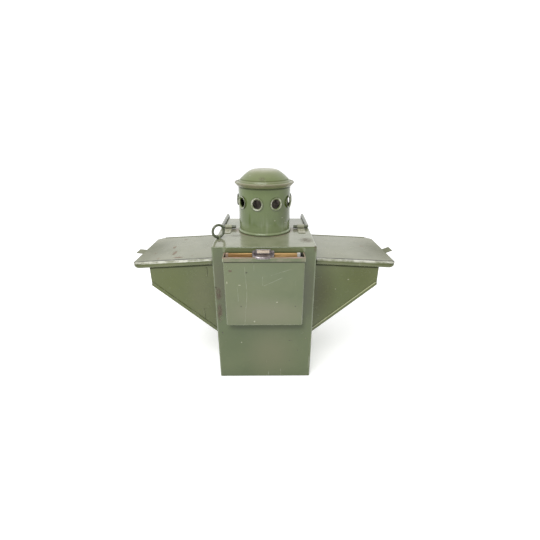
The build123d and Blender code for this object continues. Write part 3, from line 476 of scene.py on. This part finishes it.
def pocket_wear_and_painted_light(g, colour):
    """Primer along the lip, rubbed paint on the folded hem, a painted shadow under it, and painted highlights
    on the rims.
    """
    lip = g.zone(z=(pocket_high[2] - 1.2, None), edge=0.6)
    lip = g.times(lip, g.patchy(70.0, 0.36, 0.58, 0.35, 1.0, detail=5.0))
    colour = g.mix(lip, colour, PRIMER)
    hem_low = pocket_high[2] - HEM_HEIGHT
    hem = g.times(g.zone(z=(hem_low, None), edge=0.4), g.patchy(40.0, 0.42, 0.62, 0.0, 0.5, detail=5.0))
    colour = g.mix(hem, colour, HEM_BROWN)
    crease_painted_shade = g.zone(y=(pocket_low[1] - 0.3, pocket_low[1] + 4.2), z=(hem_low - 2.2, hem_low + 0.2), edge=0.5)
    colour = g.mix(g.times(crease_painted_shade, 0.85), colour, HEM_PAINTED_SHADOW)
    middle = g.zone((pocket_low[0] + 1.5, pocket_high[0] - 1.5), z=(pocket_low[2] + 1.7, None), edge=0.5)
    front = g.zone(y=(None, pocket_low[1] + 4.7), z=(None, pocket_high[2] - 1.4), edge=0.8)
    rim = g.times(g.without(middle), front, g.patchy(60.0, 0.36, 0.58, 0.25, 0.8))
    return g.mix(rim, colour, RIM_PAINTED_HIGHLIGHT), g.times(g.most(crease_painted_shade, lip), 0.6)


def lid_wear_and_painted_light(g, colour):
    """Rolled front edge chalky with wear and a painted highlight on top, painted shade in the crease behind
    it, at the inner end and along the rear roll.
    """
    front, rear = lid_low[1], lid_high[1]
    bead = g.times(g.zone(y=(front - 1.4, front + 9.4), edge=0.4), g.up(0.30, 0.85))
    bead = g.times(bead, g.patchy(34.0, 0.40, 0.60, 0.20, 0.95, detail=5.0))
    colour = g.mix(bead, colour, CHALK_AND_PAINTED_HIGHLIGHT)
    crease_painted_shade = g.math("SUBTRACT", g.zone(y=(front + 8.6, front + 16.4), edge=0.9), bead, clamp=True)
    crease_painted_shade = g.times(crease_painted_shade, g.patchy(30.0, 0.36, 0.56, 0.35, 0.95))
    colour = g.mix(crease_painted_shade, colour, LID_CREASE_PAINTED_SHADE)
    end = lid_low[0] + 2.0
    inner = g.zone((-end, end), (None, front + 22.6), edge=0.5)
    colour = g.mix(g.times(inner, 0.85), colour, LID_END_PAINTED_SHADE)
    behind = g.zone(y=(rear - 5.8, rear - 4.8), edge=0.35)
    colour = g.mix(g.times(behind, 0.6), colour, REAR_ROLL_PAINTED_SHADE)
    return colour, g.times(g.most(crease_painted_shade, inner), 0.8)


def shaded_wing(g, colour):
    """Painted shadow along the top of the wing's front wall, below the lid's rolled edge."""
    inner, outer = wing_low[0] + 2.0, wing_high[0] + 0.5
    inner_z, outer_z = wing_high[2] - 10.0, wing_high[2] - 17.0
    line = g.strokes([[(side * inner, inner_z), (side * outer, outer_z)] for side in (1, -1)], 3.4)
    line = g.times(line, g.zone(y=(None, wing_low[1] + 0.3), edge=0.2))
    return g.mix(g.times(line, 0.85), colour, WING_PAINTED_SHADOW), g.times(line, 0.7)


def bright_seam(g, colour):
    """Paint rubbed pale along the upper edge of the right wing's folded seam, with a painted highlight on it.
    """
    start = (seam_low[0] + 4.0, seam_low[2] + 11.8)
    end = (seam_high[0] - 3.5, seam_high[2] - 2.0)
    line = g.strokes([[start, end]], 1.5, wobble=0.0)
    return g.mix(g.times(line, 0.85), colour, SEAM_WEAR_AND_PAINTED_HIGHLIGHT), 0.0


# ------------------------------------------------------------------ other materials


def metal(name, base, deep, rough, tarnish=0.5, shiny=1.0):
    """Plain or plated metal with dull blotches, fine brushing, dark grime and painted shade in corners."""
    g = Graph(name)
    blotch = g.noise(55.0, 5.0, 0.65, 0.5)
    brush = g.noise(240.0, 3.0, 0.6, at=g.stretch((1.0, 6.0, 6.0)))
    colour = g.mix(g.step(blotch, 0.38, 0.66, 0.0, tarnish), base, deep)
    # darker in corners: grime and painted shade
    colour = g.mix(g.step(g.hidden(0.008), 0.3, 0.95, 0.0, 0.7), colour, (0.03, 0.028, 0.02))
    colour = g.mix(g.times(g.edges(0.0012), 0.4), colour, (0.72, 0.70, 0.66))
    roughness = g.step(blotch, 0.35, 0.7, rough, rough + 0.25)
    normal = g.bump(g.math("ADD", g.times(brush, 0.15), blotch), 0.2, 0.0006, soft=0.0006)
    return g.finish(colour, roughness, shiny, normal)


def board_end(name, base, deep, open_end=False):
    """Folded sheet end of the board, with painted shade at the top of its far side where the fold stands
    open.
    """
    g = Graph(name)
    blotch = g.noise(120.0, 5.0, 0.65, 0.5)
    colour = g.mix(g.step(blotch, 0.40, 0.64), base, deep)
    if open_end:
        # painted shade where the fold stands open
        open_fold_painted_shade = g.zone(x=(board_end_high[0] - 4.2, None), z=(board_end_high[2] - 6.0, None), edge=0.4)
        colour = g.mix(open_fold_painted_shade, colour, (0.012, 0.011, 0.009))
    return g.finish(colour, g.step(blotch, 0.3, 0.7, 0.45, 0.7), 0.15, g.bump(blotch, 0.2, 0.0006))


def timber(name):
    """Varnished orange-brown board with its grain along X."""
    g = Graph(name)
    grain = g.noise(60.0, 6.0, 0.65, 1.2, at=g.stretch((0.25, 2.5, 2.5)))
    pores = g.noise(300.0, 2.0, 0.5, at=g.stretch((0.2, 3.0, 3.0)))
    colour = g.mix(g.step(grain, 0.34, 0.66), (0.30, 0.155, 0.055), (0.66, 0.42, 0.17))
    colour = g.mix(g.step(pores, 0.55, 0.7, 0.0, 0.6), colour, (0.09, 0.04, 0.015))
    # darker in corners and gaps: painted shade
    colour = g.mix(g.step(g.hidden(0.01), 0.3, 1.0, 0.0, 0.8), colour, (0.02, 0.012, 0.006))
    normal = g.bump(g.math("ADD", grain, pores), 0.3, 0.0005, soft=0.0006)
    return g.finish(colour, g.step(grain, 0.3, 0.7, 0.42, 0.62), 0.0, normal)


def card_paper(name):
    """Foxed cream card with faint ruled smudges."""
    g = Graph(name)
    stain = g.noise(160.0, 4.0, 0.65)
    smudge = g.noise(420.0, 3.0, 0.6, at=g.stretch((0.6, 1.0, 4.0)))
    colour = g.mix(g.step(stain, 0.42, 0.68, 0.0, 0.8), (0.78, 0.67, 0.54), (0.46, 0.34, 0.24))
    colour = g.mix(g.step(smudge, 0.58, 0.66, 0.0, 0.45), colour, (0.20, 0.13, 0.09))
    return g.finish(colour, g.step(stain, 0.3, 0.7, 0.75, 0.95), 0.0, g.bump(stain, 0.2, 0.0003))


def glass(name):
    """Clear lamp glass with smoky patches."""
    g = Graph(name)
    smoke = g.noise(30.0, 4.0, 0.6)
    colour = g.mix(g.step(smoke, 0.4, 0.7), (0.95, 0.96, 0.94), (0.70, 0.66, 0.58))
    return g.finish(colour, g.step(smoke, 0.3, 0.7, 0.03, 0.18), IOR=1.47, Transmission_Weight=0.95)


def cotton(name):
    """Woven wick."""
    g = Graph(name)
    weave = g.noise(900.0, 2.0, 0.5, at=g.stretch((1.0, 1.0, 0.4)))
    stain = g.noise(60.0, 3.0, 0.6)
    colour = g.mix(g.step(stain, 0.4, 0.7), (0.62, 0.56, 0.42), (0.30, 0.24, 0.14))
    normal = g.bump(weave, 0.8, 0.0006)
    return g.finish(colour, g.step(weave, 0.3, 0.7, 0.85, 1.0), 0.0, normal, Sheen_Weight=0.3)


def rubber(name):
    """Dusty black seal."""
    g = Graph(name)
    dust = g.noise(120.0, 4.0, 0.6)
    colour = g.mix(g.step(dust, 0.45, 0.75), (0.018, 0.017, 0.016), (0.09, 0.085, 0.07))
    return g.finish(colour, g.step(dust, 0.3, 0.7, 0.55, 0.85), 0.0, g.bump(dust, 0.2, 0.0004))


# ------------------------------------------------------------------ wear placed one by one, in millimetres


NICK_SPREAD = 1.3


def nick(place, wide, high, tint, deep=3):
    """A small mark. It is spread a little, because its rim fades."""
    return place, (NICK_SPREAD * wide, NICK_SPREAD * deep, NICK_SPREAD * high), tint


casing_look = dict(
    base=BODY_GREEN, dust=0.40, shine=0.10, extra=casing_stain_and_painted_light,
    tints_and_painted_shade=[
        (on_casing(12, 60), (80, 30, 85), (0.126, 0.133, 0.062), 0.75),
        # the next three tints are painted shade: the lower left of the front and both side margins
        (on_casing(-70, 95), (45, 30, 60), (0.070, 0.097, 0.030), 0.8),
        (on_casing(88, 215), (26, 30, 110), (0.060, 0.068, 0.022), 0.8),
        (on_casing(-88, 235), (26, 30, 90), (0.070, 0.070, 0.028), 0.75),
    ],
    spots=[
        (on_casing(-92, 207), (9, 6, 19), 0.95),
        (on_casing(-92, 165), (8, 6, 30), 0.95),
        ((98, casing_low[1] + 2, 303), (5, 8, 12), 0.9),
        ((76, casing_low[1] + 1, 292), (4, 5, 3), 0.9),
        (on_plate(72, 6), (26, 26, 5), 0.6),
        (on_plate(-70, 4), (22, 24, 5), 0.6),
        (on_plate(84, -72), (18, 22, 4), 0.75),
        (on_plate(-60, -40), (20, 12, 4), 0.4),
        (on_plate(-86, -78), (9, 8, 4), 0.7),
    ],
    marks=[
        nick(on_casing(-96.5, 222), 1.4, 1.6, DARK_NICK),
        nick(on_casing(-89, 116), 1.6, 1.4, DARK_NICK),
        nick(on_casing(53, 95), 2.6, 0.8, DARK_NICK),
        nick(on_casing(58, 95.4), 1.2, 0.6, DARK_NICK),
        nick(on_casing(71, 69.6), 1.3, 1.2, DARK_NICK),
        nick(on_casing(54, 42), 1.2, 1.2, DARK_NICK),
        nick(on_casing(87, 100.7), 1.3, 1.2, BROWN_NICK),
        nick(on_casing(-50, 90.7), 1.1, 1.1, PALE_NICK),
    ],
)
pocket_look = dict(
    base=POCKET_GREEN, dust=0.3, shine=0.12, extra=pocket_wear_and_painted_light,
    tints_and_painted_shade=[
        (on_pocket(0, 178), (120, 20, 48), (0.155, 0.161, 0.091), 0.9),
        (on_pocket(0, 262), (90, 20, 30), (0.108, 0.138, 0.066), 0.6),
    ],
    marks=[
        nick(on_pocket(-32.8, 265.3), 1.8, 1.2, DARK_NICK),
        nick(on_pocket(-62.7, 268.7), 3.4, 2.2, BROWN_NICK),
        nick(on_pocket(-45, 194), 1.3, 1.2, DARK_NICK),
        nick(on_pocket(60, 194), 1.2, 1.1, DARK_NICK),
        nick(on_pocket(-19.8, 160), 1.4, 1.6, PALE_NICK),
        nick(on_pocket(24.4, 203), 1.8, 1.2, PALE_NICK),
        nick(on_pocket(-46.5, 239.7), 2.4, 0.8, PALE_NICK),
        nick(on_pocket(-70, 245), 1.0, 2.4, PALE_NICK),
    ],
    scratches=[
        [(-36, 277), (-35.5, 262), (-33.6, 239), (-33.2, 213), (-36.4, 185), (-39, 154)],
        [(-0.7, 238), (34, 254.5)],
        [(-3, 257), (-3, 239)],
        [(13, 259.6), (50, 272)],
        [(-51, 236), (-50, 205)],
    ],
)
wing_look = dict(
    base=WING_GREEN, wear=0.5, shine=0.18, extra=shaded_wing,
    dull=[
        (on_wing(170, 190), (160, 40, 130), 0.35),
        (on_wing(-170, 190), (160, 40, 130), 0.30),
    ],
    tints_and_painted_shade=[
        (on_wing(-205, 235), (60, 30, 60), (0.087, 0.106, 0.024), 0.8),
        (on_wing(205, 235), (60, 30, 60), (0.072, 0.087, 0.013), 0.85),
        (on_wing(-135, 190), (45, 30, 80), (0.108, 0.116, 0.050), 0.7),
        # painted shade on the right wing's inner part, near the casing
        (on_wing(118, 190), (45, 30, 90), (0.058, 0.064, 0.012), 0.9),
    ],
    marks=[
        nick(on_wing(175, 222), 1.8, 0.9, PALE_NICK),
        nick(on_wing(150, 200), 1.0, 1.0, PALE_NICK),
    ],
)
seam_look = {**wing_look, "wear": 1.2}
lid_look = dict(
    base=LID_GREEN, dust=0.27, wear=0.9, shine=0.14, rust=(LID_RUST, LID_RUST_PALE), extra=lid_wear_and_painted_light,
    tints_and_painted_shade=[((side * 245, 0, 260), (60, 120, 30), (0.070, 0.082, 0.042), 0.8) for side in (-1, 1)],
    dull=[((side * 262, 0, 260), (85, 150, 40), 0.85) for side in (-1, 1)],
)
left_lid_spots = [
    ((-207, 12, 263), (5.0, 12, 9), 1.0),
    ((-196, -28, 264), (6, 19, 9), 1.0),
    ((-181, -58, 264), (15, 6, 9), 1.0),
    ((-222, -60, 262), (5, 4, 9), 0.8),
    ((-240, -24, 261), (4, 8, 9), 0.5),
    ((-196, 70, 263), (7, 8, 9), 0.6),
    ((-152, -53, 265), (3, 4, 9), 0.7),
]
right_lid_spots = [
    ((225, 20, 262), (8, 5, 9), 0.6),
    ((150, -50, 265), (4, 3, 9), 0.6),
]
drum_look = dict(
    base=DRUM_GREEN, shine=0.12, dust=0.3, extra=drum_soot_wear_and_painted_light,
    tints_and_painted_shade=[
        # painted shade on the drum's right front, then a painted shadow under the brim
        ((50, -22, 360), (36, 40, 75), (0.060, 0.085, 0.010), 0.95),
        ((0, -45, 398), (70, 40, 18), (0.085, 0.118, 0.032), 0.75),
    ],
    marks=[
        nick((21.6, -40, 338), 1.3, 1.2, PALE_NICK, deep=20),
        nick((37, -31, 342), 1.0, 1.0, PALE_NICK, deep=20),
        nick((43.6, -23, 330), 1.1, 1.1, PALE_NICK, deep=20),
    ],
)
cap_look = dict(
    base=CAP_GREEN, shine=0.34, dust=0.62, extra=cap_wear_and_painted_shade,
    spots=[((-4, -36, 420), (9, 12, 6), 0.45)],
)

# ------------------------------------------------------------------ materials on the pieces

slot_materials = {
    "paint": enamel("green_enamel", **casing_look),
    "dull_paint": enamel("dusty_enamel", DUSTY_GREEN, shine=0.32, dust=0.5),
    "handle_paint": enamel("handle_enamel", HANDLE_GREEN, shine=0.22, dust=0.22),
    "bare_steel": metal("bare_steel", (0.42, 0.42, 0.40), (0.20, 0.17, 0.14), 0.34),
    "pull_steel": metal("pull_steel", (0.42, 0.385, 0.395), (0.105, 0.080, 0.075), 0.30, 0.90),
    "tank_tin": metal("tank_tin", (0.58, 0.57, 0.53), (0.30, 0.27, 0.22), 0.30),
    "brass": metal("tarnished_brass", (0.62, 0.45, 0.20), (0.25, 0.16, 0.07), 0.28),
    "board_wood": timber("board_wood"),
    "card": card_paper("name_card_paper"),
    "chimney_glass": glass("lamp_glass"),
    "wick_cotton": cotton("wick_cotton"),
    "gasket_rubber": rubber("gasket_rubber"),
}
wing_paint = enamel("wing_enamel", **wing_look)
clip_paint = enamel("clip_enamel", CLIP_GREEN, shine=0.35, dust=0.4)
own_materials = {
    "front_pocket": enamel("pocket_enamel", **pocket_look),
    "flue_drum": enamel("drum_enamel", **drum_look),
    "flue_cap": enamel("cap_enamel", **cap_look),
    "left_lid": enamel("left_lid_enamel", spots=left_lid_spots, **lid_look),
    "right_lid": enamel("right_lid_enamel", spots=right_lid_spots, **lid_look),
    "handle_clip_left": clip_paint,
    "handle_clip_right": clip_paint,
    "clip_rivets": clip_paint,
    "inner_flue": metal("sooty_flue", (0.42, 0.36, 0.30), (0.05, 0.04, 0.035), 0.6, 0.8, 0.1),
    "left_wing_box": wing_paint,
    "right_wing_box": wing_paint,
    "left_wing_bottom": enamel("seam_enamel", **seam_look),
    "right_wing_bottom": enamel("right_seam_enamel", **{**seam_look, "extra": bright_seam}),
    "slide_end_cap_left": board_end("rusty_board_end", (0.46, 0.33, 0.24), (0.20, 0.12, 0.08)),
    "slide_end_cap_right": board_end("pale_board_end", (0.72, 0.71, 0.68), (0.42, 0.38, 0.33), open_end=True),
}
SHARP_ANGLE = math.radians(28)

for entry in frame["record"]["subparts"]:
    piece = frame["nodes"][entry["node"]]
    piece.data.materials.clear()
    piece.data.materials.append(own_materials.get(entry["node"], slot_materials[entry["material_slot"]]))
    piece.data.shade_smooth()
    piece.data.set_sharp_from_angle(angle=SHARP_ANGLE)

# ------------------------------------------------------------------ floor, light, camera

FLOOR_SIZE = 80.0
FLOOR_DROP = 0.0004
FLOOR_GLOW = 0.32

FRONT_SKY = 0.50
BACK_SKY = 1.12
KEY_PLACE = (-0.35, -0.95, 1.5)
KEY_AIM = (0, 0, 0.2)
KEY_SIZE = (1.1, 0.9)
KEY_POWER = 17.0

CAMERA_PLACE = Vector((7.6, -674.71, 495.98)) * MM
CAMERA_PITCH = 22.9
CAMERA_ROLL = 0.03
CAMERA_YAW = -0.37
SENSOR = 36.0
LENS = 20.931


def build_floor():
    """Plain pale floor that glows a little, so that it stays white under the soft light."""
    bpy.ops.mesh.primitive_plane_add(size=FLOOR_SIZE, location=(0, 0, -FLOOR_DROP))
    floor = bpy.context.object
    floor.name = "studio_floor"
    g = Graph("pale_floor")
    pale = g.mix(g.noise(3.0, 2.0), (0.90, 0.90, 0.90), (0.93, 0.93, 0.93))
    floor.data.materials.append(g.finish(pale, 0.9, Emission_Color=(1, 1, 1), Emission_Strength=FLOOR_GLOW))


def build_key_light():
    """Large soft lamp above the front left."""
    data = bpy.data.lights.new("key", "AREA")
    data.shape = "RECTANGLE"
    data.size, data.size_y = KEY_SIZE
    data.energy = KEY_POWER
    lamp = bpy.data.objects.new("key", data)
    bpy.context.scene.collection.objects.link(lamp)
    lamp.location = KEY_PLACE
    lamp.rotation_mode = "QUATERNION"
    lamp.rotation_quaternion = (Vector(KEY_AIM) - Vector(KEY_PLACE)).to_track_quat("-Z", "Y")


def build_sky():
    """White studio surround, weaker in front of the object than behind it, and white where it is seen."""
    world = bpy.data.worlds.new("studio")
    bpy.context.scene.world = world
    world.use_nodes = True
    nodes, links = world.node_tree.nodes, world.node_tree.links
    back = nodes["Background"]
    back.inputs["Color"].default_value = (1.0, 1.0, 1.0, 1.0)
    toward = nodes.new("ShaderNodeSeparateXYZ")
    links.new(nodes.new("ShaderNodeTexCoord").outputs["Generated"], toward.inputs[0])
    ramp = nodes.new("ShaderNodeMapRange")
    links.new(toward.outputs["Y"], ramp.inputs["Value"])
    for key, value in (("From Min", -0.5), ("From Max", 0.35), ("To Min", FRONT_SKY), ("To Max", BACK_SKY)):
        ramp.inputs[key].default_value = value
    seen = nodes.new("ShaderNodeMath")
    seen.operation = "MAXIMUM"
    links.new(ramp.outputs[0], seen.inputs[0])
    links.new(nodes.new("ShaderNodeLightPath").outputs["Is Camera Ray"], seen.inputs[1])
    links.new(seen.outputs[0], back.inputs["Strength"])


def build_camera():
    """Camera at the photo's place and angle."""
    data = bpy.data.cameras.new("photo_camera")
    data.sensor_width = SENSOR
    data.lens = LENS
    data.clip_start = 0.01
    camera = bpy.data.objects.new("photo_camera", data)
    bpy.context.scene.collection.objects.link(camera)
    camera.location = CAMERA_PLACE
    turn = [math.radians(angle) for angle in (90 - CAMERA_PITCH, CAMERA_ROLL, CAMERA_YAW)]
    camera.rotation_euler = Euler(turn, "XYZ")
    bpy.context.scene.camera = camera


build_floor()
build_sky()
build_key_light()
build_camera()

view = bpy.context.scene.view_settings
view.view_transform = "Standard"
view.look = "None"
